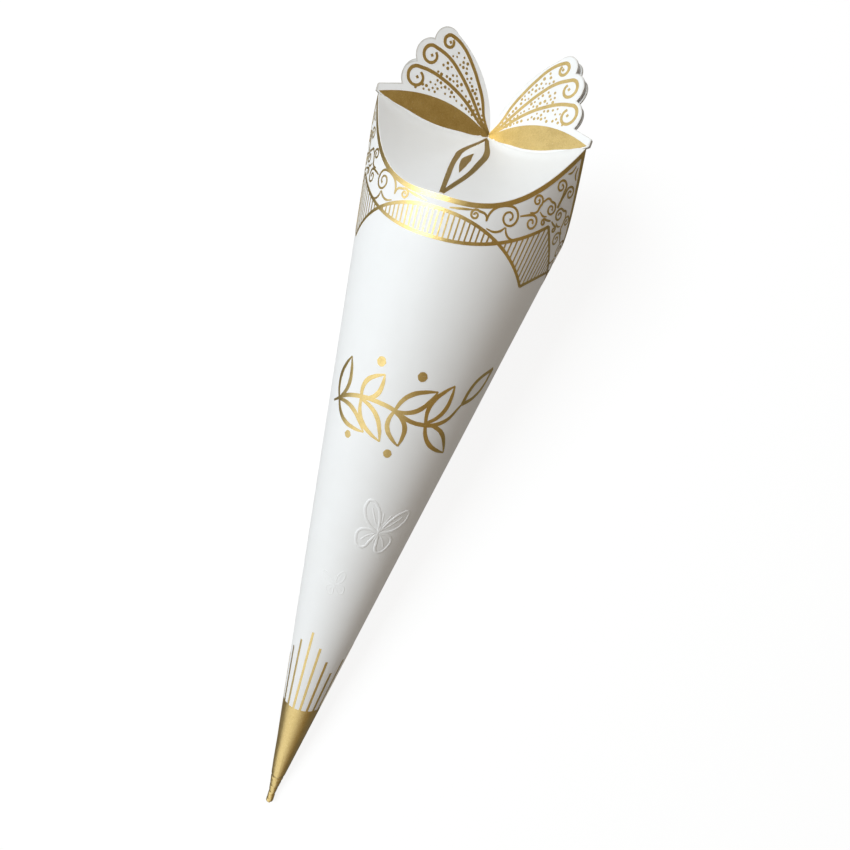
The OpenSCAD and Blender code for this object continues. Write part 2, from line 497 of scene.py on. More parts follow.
# How high the foil stands: fields, drawn lines and the lines that cross fields, and its foot
foilLay = {
    "field": 0.045, "drawn": 0.05, "line": 0.055, "foot": -0.03,
}


# Bends a flat mesh onto its card: above zero is the face of the foil, below is its foot
def layOn(mesh, bend, top=foilLay["field"], foot=foilLay["foot"]):
    for vertex in mesh.vertices:
        x, y, z = vertex.co
        vertex.co = settle(bend(x, y, top if z > 0 else foot))
    return mesh


# The foil along drawn lines, still flat
def foilAlong(lines, step=0.35, cuts=1):
    return grow(drawing(lines), ribbons, {"Step": step, "Cuts Across": cuts, "Material": foilMaterial})


# A filled round spot as a drawn line
def disc(x, y, r, steps=8):
    turns = [pi * i / steps for i in range(steps + 1)]
    return [(x - r * cos(a), y, max(0.02, r * sin(a))) for a in turns]


# Joins meshes into one piece
def joined(name, meshes, material):
    whole = bmesh.new()
    for mesh in meshes:
        whole.from_mesh(mesh)
        bpy.data.meshes.remove(mesh)
    mesh = bpy.data.meshes.new(name)
    whole.to_mesh(mesh)
    whole.free()
    return finishMesh(name, mesh, material)


# A closed slab of foil or card over a grid of flat points
def slab(rows, bend, top, foot):
    across = len(rows[0])
    verts = [settle(bend(x, y, rise)) for rise in (top, foot) for row in rows for x, y in row]
    under = len(rows) * across
    faces = []
    for i in range(len(rows) - 1):
        for j in range(across - 1):
            a = i * across + j
            quad = [a, a + 1, a + across + 1, a + across]
            faces.append(quad)
            faces.append([under + k for k in reversed(quad)])
    ring = list(range(across))
    ring += [i * across + across - 1 for i in range(1, len(rows))]
    ring += [(len(rows) - 1) * across + j for j in range(across - 2, -1, -1)]
    ring += [i * across for i in range(len(rows) - 2, 0, -1)]
    for k, a in enumerate(ring):
        b = ring[(k + 1) % len(ring)]
        faces.append([a, under + a, under + b, b])
    return newMesh("slab", verts, faces)


def blend(a, b, t):
    return (a[0] + (b[0] - a[0]) * t, a[1] + (b[1] - a[1]) * t)


print("node trees are ready")

# The cone and its three flaps: one skin from the rolled end over the crease to the centre

tip = {
    "top": 42.5, "rows": 110, "columns": 96, "seamFrom": 27.0, "seamFull": 19.0,
    "seamTurn": 8.0, "seamSwing": 0.9, "seamStep": 0.34, "seamFade": 150.0,
    "seamPower": 1.5, "shoulder": 0.069, "shoulderFade": 1.5, "foldAt": 14.0,
    "foldDepth": 0.24, "foldHalf": 0.4, "coilFrom": 5.0, "coilStep": 2.6,
    "coilDepth": 0.13, "coilHalf": 0.32, "coils": 3, "skin": 0.045, "endTurns": 2.5,
    "endRings": 8, "endWave": 0.1, "endSink": 0.04, "edgeSink": 0.03, "crowding": 1.15,
}
skin = {
    "bodyRows": 64, "creaseRows": 6, "flapRows": 22, "columns": 38, "crowding": 1.7,
    "innermost": 0.03,
    "underTip": 0.4,  # how far the card draws in below the gold roll
    # creaseWearShade and foldWearShade paint shade and rubbed wear into the mouth's crease and the folds up
    # to the wings
    "underFade": 4.0, "rimFade": 0.06, "centreFade": 0.08, "creaseWearShade": 0.3,
    "foldWearShade": 0.12, "foldWearShadeMost": 0.25,
}


def columnTurns():
    turns = []
    for flap in range(3):
        for side in (-1, 1):
            for j in range(skin["columns"]):
                off = flapHalf * (j / skin["columns"]) ** skin["crowding"]
                corner = flap * 120 + side * flapHalf
                turns.append((corner - side * off) % 360)
        turns.append(flap * 120.0)
    edge = cone["lapTurn"] - lapAngle / 2
    turns += [edge - 0.02, edge + 0.02]
    kept = []
    for turn in sorted(turns):
        if not kept or turn - kept[-1] > 0.01:
            kept.append(turn)
    return kept


# The rise of the rounded fold where the closure turns up into a wing
def foldRise(az, share, r):
    rise = 0.0
    for corner in (-flapHalf, flapHalf):
        turn = (az - corner + 180) % 360 - 180
        if abs(turn) < 90:
            gap = r * abs(sin(radians(turn))) - cardT
            inside = foldRound - max(0.0, gap)
            if inside > 0:
                rise = foldRound - sqrt(foldRound ** 2 - inside ** 2)
    return rise * smooth((1 - share) / skin["rimFade"]) * smooth(share / skin["centreFade"])


def skinColumn(az):
    lap = lapRise(az, cone["sideLen"])
    rim = Vector((creaseR(az), creaseZ(az)))
    step = 0.02
    inward = Vector((-step * creaseR(az), closureZ(az, 1 - step) - creaseZ(az))).normalized()
    side = Vector((sinHalf, cosHalf))
    turn = side.angle(inward) / 2
    back = cone["creaseRound"] * tan(turn)
    # The crease rows and the rounded folds carry a wear attribute that paints shade and rubbed wear
    column = []
    startZ = tipCut + tipRound
    endZ = (rim - side * back).y
    for i in range(skin["bodyRows"]):
        z = startZ + (endZ - startZ) * i / skin["bodyRows"]
        g = z / cosHalf
        under = skin["underTip"] * smooth((tip["seamFrom"] + 2 - g) / skin["underFade"])
        column.append((max(z * tanHalf, tipR) + lapRise(az, g) - under, z, 0.0))
    for i in range(skin["creaseRows"] + 1):
        t = i / skin["creaseRows"]
        start, end = rim - side * back, rim + inward * back
        point = start * (1 - t) ** 2 + rim * 2 * t * (1 - t) + end * t * t
        column.append((point.x + lap, point.y, skin["creaseWearShade"] * sin(pi * t)))
    first = 1 - back * -inward.x / creaseR(az)
    for i in range(1, skin["flapRows"]):
        share = first + (skin["innermost"] - first) * i / (skin["flapRows"] - 1)
        r = share * creaseR(az)
        rise = foldRise(az, share, r)
        wornShade = min(skin["foldWearShadeMost"], rise * skin["foldWearShade"])
        column.append((r + lap * share ** 4, closureZ(az, share) + rise, wornShade))
    return column


def coneCard():
    turns = columnTurns()
    rows = list(zip(*[skinColumn(az) for az in turns]))
    rings = [[polar(r, az, z) for az, (r, z, _) in zip(turns, row)] for row in rows]
    poles = [Vector((0, 0, tipCut + tipRound)), Vector((0, 0, centreZ))]
    mesh = tube("cone_card", rings, poles)
    # The wear attribute darkens the crease and the folds with painted shade and rubbed wear
    setAttribute(mesh, "wearAndShade", [wornShade for row in rows for _, _, wornShade in row] + [0.0] * len(poles))
    piece = finishMesh("cone_card", mesh, cardMaterial, sharp=35)
    shell = piece.modifiers.new("card", "SOLIDIFY")
    shell.thickness = cardT * mm
    shell.offset = -1.0
    return piece


body = coneCard()
print("the cone and its flaps are rolled")

# The wings: each is two plies of card on the fold between two flaps

wing = {
    "over": 0.8, "bulge": 3.2,
    "lobes": [(18.8, 16.7, 3.5), (22.0, 12.0, 3.95), (23.7, 5.4, 4.1)],
    "lowEndTurn": 40.0, "margin": 0.4, "splay": 1.25, "frontCurl": 0.35,
    "backCurl": 0.8, "curlHeight": 20.0, "ringRows": 14, "ringCrowd": 0.8,
    "rim": 0.984,  # where the painted dark edge band of shade and wear begins
    "root": (0.12, -0.2),
    "touchTurn": 130.0,  # where the inner edge meets the top lobe
    "foldSteps": 20,
    "spans": [(-88.0, -26.0, 8), (-26.0, 60.0, 180), (60.0, 88.0, 20)],
    "turnFrom": 10.0, "turnLow": 5.0, "turnFade": 30.0,
}
backTurn = {-1: 2.6, 1: -1.0}  # how far each wing's rear ply is turned about the centre
wingR = mouthR + wing["over"]


# From the plane of a wing to the cone: out from the axis, up over the centre, off the fold plane
def wingPoint(side, ply, out, up, off):
    curl = wing["frontCurl"] if ply > 0 else wing["backCurl"]
    bend = off + up * tan(radians(wing["splay"]))
    bend += curl * (max(up, 0.0) / wing["curlHeight"]) ** 2
    if ply < 0:
        reach, angle = hypot(out, up), atan2(up, out)
        turn = radians(backTurn[side]) * smooth(reach / wing["turnFrom"])
        angle += turn * smooth((degrees(angle) + wing["turnLow"]) / wing["turnFade"])
        out, up = reach * cos(angle), reach * sin(angle)
    a = radians(side * flapHalf)
    outward = Vector((cos(a), sin(a), 0.0))
    towardFlap = Vector((sin(a), -cos(a), 0.0)) * side
    return Vector((0.0, 0.0, centreZ + up)) + outward * out + towardFlap * (ply * bend)


# The corners of the wing's fan, from the fold round by the lobes to the top
def fanCorners():
    top, middle, low = wing["lobes"]
    fall = radians(wing["lowEndTurn"])
    steps = wing["foldSteps"]
    corners = [(wingR * i / steps, foldUp(wingR * i / steps) - cardT) for i in range(steps + 1)]
    corners.append((wingR, wing["margin"]))
    corners.append((low[0] + low[2] * cos(fall), low[1] - low[2] * sin(fall)))
    corners += [low[:2], middle[:2], top[:2], (top[0], top[1] + top[2]), (0.0, top[1] + top[2])]
    return corners


# How far the wing reaches from its root in a direction
def wingReach(root, angle):
    ahead = Vector((cos(angle), sin(angle)))

    def leavesCircle(centre, radius):
        toRoot = root - centre
        half = toRoot.dot(ahead)
        inside = half * half - toRoot.dot(toRoot) + radius * radius
        return -half + sqrt(inside) if inside > 0 else 0.0

    corners = [Vector(corner) for corner in fanCorners()]
    fan = 0.0
    for a, b in zip(corners, corners[1:] + corners[:1]):
        edge = b - a
        spread = ahead.x * edge.y - ahead.y * edge.x
        if abs(spread) > 1e-9:
            gap = a - root
            t = (gap.x * edge.y - gap.y * edge.x) / spread
            u = (gap.x * ahead.y - gap.y * ahead.x) / spread
            if t > 0 and -1e-9 <= u <= 1 + 1e-9:
                fan = max(fan, t)
    top = wing["lobes"][0]
    touch = Vector(top[:2]) + Vector(polar(top[2], wing["touchTurn"], 0.0)[:2])
    chord = touch.length
    bow = (chord * chord / 4 + wing["bulge"] ** 2) / (2 * wing["bulge"])
    across = Vector((-touch.y, touch.x)) / chord
    fan = min(fan, leavesCircle(touch / 2 + across * (wing["bulge"] - bow), bow))
    return max([fan] + [leavesCircle(Vector(lobe[:2]), lobe[2]) for lobe in wing["lobes"]])


def wingAngles():
    angles = []
    for start, end, count in wing["spans"]:
        angles += [start + (end - start) * i / count for i in range(count)]
    return angles + [wing["spans"][-1][1]]


def wingPly(side, ply):
    root = Vector(wing["root"])
    outline = [(radians(angle), wingReach(root, radians(angle))) for angle in wingAngles()]
    rings = wing["ringRows"]
    shares = [wing["rim"] * (i / rings) ** wing["ringCrowd"] for i in range(rings + 1)] + [1.0]
    rows = []
    for share in shares:
        rows.append([(root.x + reach * share * cos(a), root.y + reach * share * sin(a))
                     for a, reach in outline])
    mesh = slab(rows, lambda x, y, off: wingPoint(side, ply, x, y, off), cardT, 0.0)
    # The outermost ring paints a thin dark band of edge shade and wear round each ply
    wearAndShade = [float(share == 1.0) for share in shares for _ in outline] * 2
    setAttribute(mesh, "wearAndShade", wearAndShade)
    return mesh


def makeWing(side, name):
    return joined(name, [wingPly(side, ply) for ply in (1, -1)], cardMaterial)


wings = {-1: makeWing(-1, "left_wing"), 1: makeWing(1, "right_wing")}
print("the wings are cut")

# Gold print on the wings: base lens, three veins that end in curls, dots between them

lens = {
    "from": 0.3, "to": 32.1, "arch": 4.1, "droop": 0.1, "endFade": 0.3, "least": 0.04,
    "columns": 64, "rowsUp": 8,
}

veinHalf = 0.43
veinCurl = {"turns": 0.95, "endShare": 0.62, "seed": 0.45, "seedBack": 0.2}
veins = [
    [(0.2, 0.4), (3.1, 3.8), (5.2, 7.9), (7.8, 11.3), (10.6, 14.3), (14.4, 17.3)],
    [(0.35, 0.3), (3.5, 2.7), (6.8, 5.9), (9.9, 8.7), (13.3, 11.3), (17.0, 13.4)],
    [(0.5, 0.2), (4.9, 2.7), (8.1, 4.8), (12.2, 6.7), (16.4, 7.9), (20.2, 8.5)],
]
curls = [  # centre, radius, and the turn at which the vein meets it
    ((18.3, 16.9), 1.65, 112.0),
    ((21.9, 12.1), 2.35, 114.0),
    ((23.9, 5.8), 2.6, 100.0),
]


# A line that winds inwards round a centre
def spiral(centre, radius, start, turns, hand, half, endShare=0.32, power=1.0, steps=9):
    points = []
    count = max(4, round(steps * turns))
    for i in range(count + 1):
        t = i / count
        a = radians(start + hand * 360 * turns * t)
        r = radius * (1 - (1 - endShare) * t ** power)
        x, y = centre[0] + r * cos(a), centre[1] + r * sin(a)
        points.append((x, y, half * (1 - 0.25 * t)))
    return points


def veinLines():
    lines = []
    for vein, ((x, y), radius, meets) in zip(veins, curls):
        line = [(*point, veinHalf * (0.7 + 0.3 * min(1.0, i / 2))) for i, point in enumerate(vein)]
        lines.append(line + spiral((x, y), radius, meets, veinCurl["turns"], -1, veinHalf,
                                   veinCurl["endShare"]))
        lines.append(disc(x - veinCurl["seedBack"], y, veinCurl["seed"]))
    return lines


# The gold lens at the foot of a wing: from the centre to the corner, a point at either end
def lensRows():
    rows = []
    for i in range(lens["columns"] + 1):
        u = i / lens["columns"]
        out = lens["from"] + (lens["to"] - lens["from"]) * u
        low = foldUp(out) + foldRound * smooth(min(u, 1 - u) / lens["endFade"])
        arch = lens["arch"] * 4 * u * (1 - u) * (1 - lens["droop"] * u)
        high = max(low + lens["least"], foldUp(lens["to"]) * u + arch)
        rows.append([(out, low + (high - low) * k / lens["rowsUp"]) for k in range(lens["rowsUp"] + 1)])
    return rows


dotLook = {
    "Apart": 1.02, "Density": 40.0, "Smallest": 0.25, "Largest": 0.44,
}
dotFields = {
    "from": 0.1, "steps": 12, "across": 4,
    "clear": 0.95,  # kept clear of a vein, in millimetres
    "mostClear": 0.42, "crowdAtRoot": 1.4, "crowdLeast": 0.7, "crowdFade": 30.0,
}


# The fields between the veins, with a crowd attribute that thins the dots towards the rim
def dotField(lower, upper):
    def along(line, t):
        place = t * (len(line) - 1)
        k = min(int(place), len(line) - 2)
        return blend(line[k], line[k + 1], place - k)

    verts, crowd, faces = [], [], []
    steps, across = dotFields["steps"], dotFields["across"]
    for i in range(steps + 1):
        t = dotFields["from"] + (1 - dotFields["from"]) * i / steps
        a, b = along(lower, t), along(upper, t)
        inset = min(dotFields["mostClear"], dotFields["clear"] / max(0.5, dist(a, b)))
        for k in range(across):
            x, y = blend(a, b, inset + (1 - 2 * inset) * k / (across - 1))
            verts.append((x, y, 0.0))
            thinned = dotFields["crowdAtRoot"] - hypot(x, y) / dotFields["crowdFade"]
            crowd.append(max(dotFields["crowdLeast"], thinned))
    for i in range(steps):
        row = i * across
        faces += [[row + k, row + k + 1, row + across + k + 1, row + across + k]
                  for k in range(across - 1)]
    mesh = newMesh("dot field", verts, faces)
    setAttribute(mesh, "crowd", crowd)
    return newObject("dot field", mesh)


def wingPrint(side):
    arch = [(row[0][0], row[-1][1] + 0.5) for row in lensRows()[::6]]
    fields = [(arch[:9], veins[2]), (veins[2], veins[1]), (veins[1], veins[0])]
    meshes = []
    for ply in (1, -1):
        def bend(x, y, rise):
            return wingPoint(side, ply, x, y, cardT + rise)

        meshes.append(slab(lensRows(), bend, foilLay["field"], foilLay["foot"]))
        meshes.append(layOn(foilAlong(veinLines(), 0.3), bend, foilLay["line"]))
        for number, (lower, upper) in enumerate(fields):
            dots = grow(dotField(lower, upper), dotting, {
                **dotLook, "Seed": 5 * number + side + 3, "Material": foilMaterial})
            meshes.append(layOn(dots, bend))
    return meshes


leftPrint = joined("left_wing_print", wingPrint(-1), foilMaterial)
rightPrint = joined("right_wing_print", wingPrint(1), foilMaterial)
print("the wings are printed")

# Gold print round the mouth: crease line, two crossing arcs, hatch and scrolls, on each flap's side

border = {
    "creaseLine": 1.15, "creaseGap": 0.15, "arcLow": 187.2, "arcHigh": 199.8,
    "archMiddle": 193.8, "archCusp": 183.7, "arcPower": 2.22, "arcHalf": 0.42,
    "hatchHalf": 0.2, "hatchTurn": 2.65, "crossing": 33.5, "innerGap": 2.0,
    "outerGap": 2.5, "arcPoints": 25, "bandPoints": 121,
}
flapMiddles = (0, 120, 240)


def towardsCorner(az):
    return cornerShare(az) ** border["arcPower"]


def arcG(az):
    return border["arcLow"] + (border["arcHigh"] - border["arcLow"]) * towardsCorner(az)


def archG(az):
    return border["archMiddle"] - (border["archMiddle"] - border["archCusp"]) * towardsCorner(az)


def sheetLine(azimuths, distance, half):
    return [(*onSheet(distance(az), az), half) for az in azimuths]


def turnsBetween(start, end, count):
    return [start + (end - start) * i / (count - 1) for i in range(count)]


# Rules a field between two distances with lines along the side of the cone
def ruled(azimuths, lower, upper, half, cuts=1):
    guide = drawing([sheetLine(azimuths, upper, half)], kind="POLY")
    mesh = grow(drawing([sheetLine(azimuths, lower, half)], kind="POLY"), hatching, {
        "Upper Guide": guide, "Lines": len(azimuths), "Half Width": half, "Cuts Across": cuts,
        "Material": foilMaterial})
    bpy.data.objects.remove(guide)
    return mesh


def creaseBand(middle):
    rows = []
    for az in turnsBetween(middle - flapHalf, middle + flapHalf, border["bandPoints"]):
        off = offMiddle(az)
        arc = creaseLen(az) * sinHalf * radians(1)
        slope = (creaseLen(middle + off) - creaseLen(middle + max(0.0, off - 1))) / arc
        steep = sqrt(1 + slope * slope)
        top = creaseLen(az) - border["creaseGap"] * steep
        rows.append([onSheet(top - border["creaseLine"] * steep * k / 3, az) for k in range(4)])
    return rows


# Scrollwork of half a flap's side, in millimetres across from its middle and from the apex:
# the lead that a scroll runs in by, its centre, radius, the turn it meets at, turns and hand
scrolls = [
    ([(12.6, 194.5), (12.8, 196.6), (14.1, 198.4)], (17.8, 197.3), 2.65, 118.0, 1.5, -1),
    ([(12.6, 194.5), (12.0, 195.8)], (9.5, 195.0), 1.25, 60.0, 1.4, 1),
    ([(20.4, 198.6)], (24.2, 198.4), 1.95, 132.0, 1.4, -1),
    ([(22.6, 200.3), (24.4, 201.2)], (23.4, 203.6), 1.6, -38.0, 1.35, 1),
    ([(25.0, 203.9), (26.2, 205.3)], (28.4, 203.5), 1.75, 118.0, 1.4, -1),
    ([(30.2, 204.6), (30.3, 206.8)], (28.4, 209.2), 1.8, -20.0, 1.4, 1),
    ([(30.2, 201.2), (29.3, 200.9)], (27.9, 199.9), 0.9, 70.0, 1.2, 1),
]
stems = [
    [(3.0, 194.7), (5.2, 195.1), (7.0, 195.5), (8.6, 195.9)],
    [(17.9, 194.9), (18.6, 193.7), (20.2, 192.9), (22.0, 193.4)],
    [(13.2, 193.0), (15.3, 192.9), (16.9, 193.7), (17.8, 194.9)],
    [(25.4, 201.6), (26.8, 201.1), (28.1, 201.5)],
    [(28.6, 212.4), (29.6, 213.2), (30.0, 215.0)],
]
scrollHalf = 0.29


# The scrolls of half a flap's side, drawn out from the middle or mirrored
def scrollLines(middle, mirror):
    perDegree = border["arcHigh"] * sinHalf * radians(1)
    lines = []
    for lead, centre, radius, meets, turns, hand in scrolls:
        wound = spiral(centre, radius, meets, turns, hand, scrollHalf, 0.2)
        wound[-1] = (*wound[-1][:2], scrollHalf * 1.3)
        lines.append([(u, g, scrollHalf * (0.6 if i == 0 else 0.95))
                      for i, (u, g) in enumerate(lead)] + wound)
    for stem in stems:
        lines.append([(u, g, scrollHalf * (0.5 if i in (0, len(stem) - 1) else 0.95))
                      for i, (u, g) in enumerate(stem)])
    return [[(*onSheet(g, middle + mirror * u / perDegree), half) for u, g, half in line]
            for line in lines]


def mouthBorder():
    meshes, lines = [], []
    reach = border["crossing"] - border["innerGap"]
    outside = border["crossing"] + border["outerGap"]
    width = 2 * flapHalf
    for middle in flapMiddles:
        meshes.append(slab(creaseBand(middle), rollUp, foilLay["line"], foilLay["foot"]))
        wide = turnsBetween(middle - flapHalf, middle + flapHalf, border["arcPoints"])
        lines += [sheetLine(wide, arcG, border["arcHalf"]), sheetLine(wide, archG, border["arcHalf"])]
        for mirror in (-1, 1):
            lines += scrollLines(middle, mirror)
        inner = turnsBetween(middle - reach, middle + reach, round(2 * reach / border["hatchTurn"]))
        outer = turnsBetween(middle + outside, middle + width - outside,
                             round((width - 2 * outside) / border["hatchTurn"]))
        meshes.append(layOn(ruled(inner, arcG, archG, border["hatchHalf"]), rollUp))
        meshes.append(layOn(ruled(outer, archG, arcG, border["hatchHalf"]), rollUp))
    return meshes + [layOn(foilAlong(lines), rollUp, foilLay["drawn"])]


mouthPrint = joined("mouth_border_print", mouthBorder(), foilMaterial)
print("the border round the mouth is printed")

# Gold tip with its rolled turns, and the stripes above it

stripe = {
    "count": 18, "long": 28.0, "short": 15.0, "half": 0.36, "into": 0.5, "turn": -5.0,
}


def seamAt(z):
    return tip["seamTurn"] + max(0.0, tip["seamFrom"] - z) * tip["seamSwing"]


# The radius of the gold tip: a tight roll whose outer edge stands proud along the seam
def tipRadius(z, turn):
    base = max(z * tanHalf, tipR)
    grown = smooth((tip["seamFrom"] - z) / (tip["seamFrom"] - tip["seamFull"]))
    edge = tip["seamStep"] * grown * max(0.0, 1 - turn / tip["seamFade"]) ** tip["seamPower"]
    pinch = tip["foldDepth"] * exp(-((z - tip["foldAt"]) / tip["foldHalf"]) ** 2)
    shoulder = tip["shoulder"] * smooth((tip["foldAt"] - z) / tip["shoulderFade"])
    low = max(0.0, 1 - (z - tipCut) / tipRound)
    rounding = tipRound * (1 - sqrt(max(0.0, 1 - low ** 2)))
    coil = 0.0
    for k in range(tip["coils"]):
        at = tip["coilFrom"] + tip["coilStep"] * (k + turn / 360)
        coil += tip["coilDepth"] * exp(-((z - at) / tip["coilHalf"]) ** 2)
    return base + tip["skin"] + edge - pinch - shoulder - rounding - coil


def goldTip():
    turns = [360 * j / tip["columns"] for j in range(tip["columns"] + 1)]
    topZ = tip["top"] * cosHalf
    rings = []
    # The end of the roll: its turns show as a shallow spiral
    for k in range(tip["endRings"], 0, -1):
        share = 1 - k / (tip["endRings"] + 1)
        ring = []
        for turn in turns:
            wave = sin(2 * pi * (tip["endTurns"] * share - turn / 360))
            z = tipCut + tip["endWave"] * wave * share - tip["endSink"]
            ring.append(polar(tipRadius(tipCut, turn) * share, seamAt(tipCut) - turn, z))
        rings.append(ring)
    for i in range(tip["rows"] + 1):
        z = tipCut + (topZ - tipCut) * (i / tip["rows"]) ** tip["crowding"]
        rings.append([polar(tipRadius(z, turn), seamAt(z) - turn, z) for turn in turns])
    # The upper edge turns in to the card
    rings.append([polar(topZ * tanHalf - tip["edgeSink"], seamAt(topZ) - turn, topZ) for turn in turns])
    poles = [Vector((0, 0, tipCut)), Vector((0, 0, topZ))]
    return finishMesh("gold_tip", tube("gold_tip", rings, poles), foilMaterial)


def tipStripes():
    azimuths = [i * 360 / stripe["count"] + stripe["turn"] for i in range(stripe["count"])]

    def stripeTop(az):
        share = cornerShare(az - stripe["turn"])
        return tip["top"] + stripe["long"] + (stripe["short"] - stripe["long"]) * share

    mesh = ruled(azimuths, lambda az: tip["top"] - stripe["into"], stripeTop, stripe["half"], cuts=2)
    return joined("tip_stripes", [layOn(mesh, rollUp)], foilMaterial)


tipPiece = goldTip()
stripePiece = tipStripes()
print("the tip is rolled and striped")

# The centre of the front flap: a small gold diamond with a seed, along the flap's middle

diamond = {
    "left": [(0.6, 0.0), (2.6, -0.75), (9.4, -3.8), (11.7, -3.6), (16.1, -3.0), (21.6, -1.7), (28.2, -0.1)],
    "right": [(0.6, 0.0), (2.2, 0.5), (7.7, 2.76), (13.2, 2.84), (18.5, 2.46), (24.0, 1.2), (28.2, 0.1)],
    "half": 0.64,
    "widths": [0.6, 0.9, 1.3, 1.2, 1.0, 1.0, 0.8],
    "top": 0.07, "foot": -0.04, "seedFrom": 9.6, "seedTo": 18.8, "seedHalf": 1.25,
}


# From the flat middle of the front flap (along it, across it) to the closure
def flapPoint(along, across, rise):
    az = degrees(atan2(across, along))
    r = hypot(along, across)
    share = min(r / creaseR(az), 0.999)
    ahead, aside = closureZ(az, share + 0.001), closureZ(az + 0.5, share)
    here = closureZ(az, share)
    slope = (ahead - here) / (0.001 * creaseR(az))
    tilt = (aside - here) / (radians(0.5) * max(r, 0.5))
    a = radians(az)
    up = Vector((-slope * cos(a) + tilt * sin(a),
                 -slope * sin(a) - tilt * cos(a), 1.0))
    return polar(r, az, here) + up.normalized() * rise


def flapDiamond():
    lines = []
    for side in ("left", "right"):
        lines.append([(x, y, diamond["half"] * w) for (x, y), w in zip(diamond[side], diamond["widths"])])
    middle = (diamond["seedFrom"] + diamond["seedTo"]) / 2
    lines.append([(diamond["seedFrom"], -0.2, 0.15), (middle - 1.4, -0.7, diamond["seedHalf"]),
                  (middle + 1.6, -0.4, diamond["seedHalf"] * 0.7), (diamond["seedTo"], 0.1, 0.1)])
    laid = layOn(foilAlong(lines, cuts=3), flapPoint, diamond["top"], diamond["foot"])
    return joined("flap_diamond_print", [laid], foilMaterial)


diamondPiece = flapDiamond()

# The middle of the side: a plain leafy sprig in gold, and a small butterfly pressed into the card

sprig = {
    "stem": [(-17.0, 138.0), (-9.0, 142.6), (1.0, 143.6), (10.5, 141.0), (18.0, 142.6), (22.5, 148.0)],
    "stemHalf": 0.6, "leafLen": 13.5, "leafBow": 2.3, "lineHalf": 0.58,
    "leafTurn": 54.0,
    "leafWidths": [(0.0, 0.7), (0.25, 1.0), (0.5, 1.15), (0.78, 0.9), (1.0, 0.35)],
    "endWidths": [(0.0, 1.0), (0.3, 1.0), (0.6, 1.0), (1.0, 1.0)],
    "feet": [0.35, 1.3, 2.3, 3.3],
    "berries": [(-3.0, 154.2, 1.35), (8.4, 153.6, 1.35), (-7.2, 132.0, 1.1), (5.2, 131.0, 1.2)],
}


def rotated(vector, degrees):
    a = radians(degrees)
    return Vector((vector.x * cos(a) - vector.y * sin(a),
                   vector.x * sin(a) + vector.y * cos(a)))


# The two edges of an open almond leaf
def leafEdges(foot, ahead, size, widths, power):
    bow = rotated(ahead, 90) * sprig["leafBow"]
    edges = []
    for edge in (-1, 1):
        points = [foot + ahead * size * share + bow * edge * sin(pi * share ** power)
                  for share, width in widths]
        edges.append([(point.x, point.y, sprig["lineHalf"] * width)
                      for point, (share, width) in zip(points, widths)])
    return edges


# A curved stem with pairs of leaves and loose berries
def sprigLines():
    stem = [Vector(point) for point in sprig["stem"]]
    last = len(stem) - 1
    lines = [[(p.x, p.y, sprig["stemHalf"] * (0.5 if i in (0, last) else 1)) for i, p in enumerate(stem)]]
    for number, t in enumerate(sprig["feet"]):
        k = min(int(t), last - 1)
        foot = stem[k].lerp(stem[k + 1], t - k)
        ahead = (stem[k + 1] - stem[k]).normalized()
        for side in (-1, 1):
            size = sprig["leafLen"] * (0.86 + 0.14 * cos(number * 2.1 + side))
            out = rotated(ahead, side * sprig["leafTurn"])
            lines += leafEdges(foot, out, size, sprig["leafWidths"], 0.9)
    ahead = (stem[last] - stem[last - 1]).normalized()
    lines += leafEdges(stem[last], ahead, sprig["leafLen"], sprig["endWidths"], 1.0)
    return lines + [disc(*berry) for berry in sprig["berries"]]


def sprigPrint():
    mesh = layOn(foilAlong(sprigLines(), 0.4, 3), rollUp)
    return joined("side_sprig_print", [mesh], foilMaterial)


sprigPiece = sprigPrint()

# Half a butterfly in millimetres, drawn as raised ribs and mirrored about its body
butterfly = {
    "lines": [
        [(0.3, 1.0), (1.6, 4.6), (4.0, 7.8), (6.2, 8.6), (6.9, 7.0), (6.0, 4.2), (3.4, 1.6), (0.4, 0.4)],
        [(0.4, 0.1), (3.4, 0.2), (5.2, -1.2), (5.0, -3.6), (3.4, -5.6), (2.0, -5.4), (1.0, -2.8),
         (0.3, -0.4)],
        [(0.8, 1.4), (2.6, 3.6), (4.9, 6.6)],
        [(0.9, -0.4), (2.4, -1.6), (3.6, -3.6)],
        [(0.1, 2.2), (0.7, 4.6), (1.2, 6.4)],
    ],
    "widths": [0.42, 0.42, 0.24, 0.24, 0.2],
    "body": [(0.0, -3.2, 0.15), (0.0, -0.8, 0.5), (0.0, 1.2, 0.55), (0.0, 2.4, 0.3)],
    "places": [(107.5, 33.0, 1.0, -12.0), (88.0, 6.0, 0.5, 18.0)],  # g, azimuth, scale, turn
    "rise": 0.3,
}


def pressedButterflies():
    lines = []
    for g, az, scale, turn in butterfly["places"]:
        centre = onSheet(g, az)
        drawn = [butterfly["body"]]
        for line, half in zip(butterfly["lines"], butterfly["widths"]):
            drawn += [[(mirror * x, y, half) for x, y in line] for mirror in (-1, 1)]
        for line in drawn:
            moved = [(centre + rotated(Vector((x, y)), turn) * scale, half * scale) for x, y, half in line]
            lines.append([(point.x, point.y, half) for point, half in moved])
    mesh = grow(drawing(lines), ribs, {"Step": 0.3, "Material": cardMaterial})
    for vertex in mesh.vertices:
        x, y, z = vertex.co
        vertex.co = settle(rollUp(x, y, z * butterfly["rise"]))
    return joined("pressed_butterflies", [mesh], cardMaterial)


pressedPiece = pressedButterflies()
print("the sprig is printed and the butterflies are pressed in")

cardPieces = [body, *wings.values(), pressedPiece]
foilPieces = [leftPrint, rightPrint, mouthPrint, tipPiece, stripePiece, diamondPiece, sprigPiece]
for piece in cardPieces + foilPieces:
    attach(piece, "root")
    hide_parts("folded_card")
print("every piece rides on the card")

# Camera, floor, lamps and world

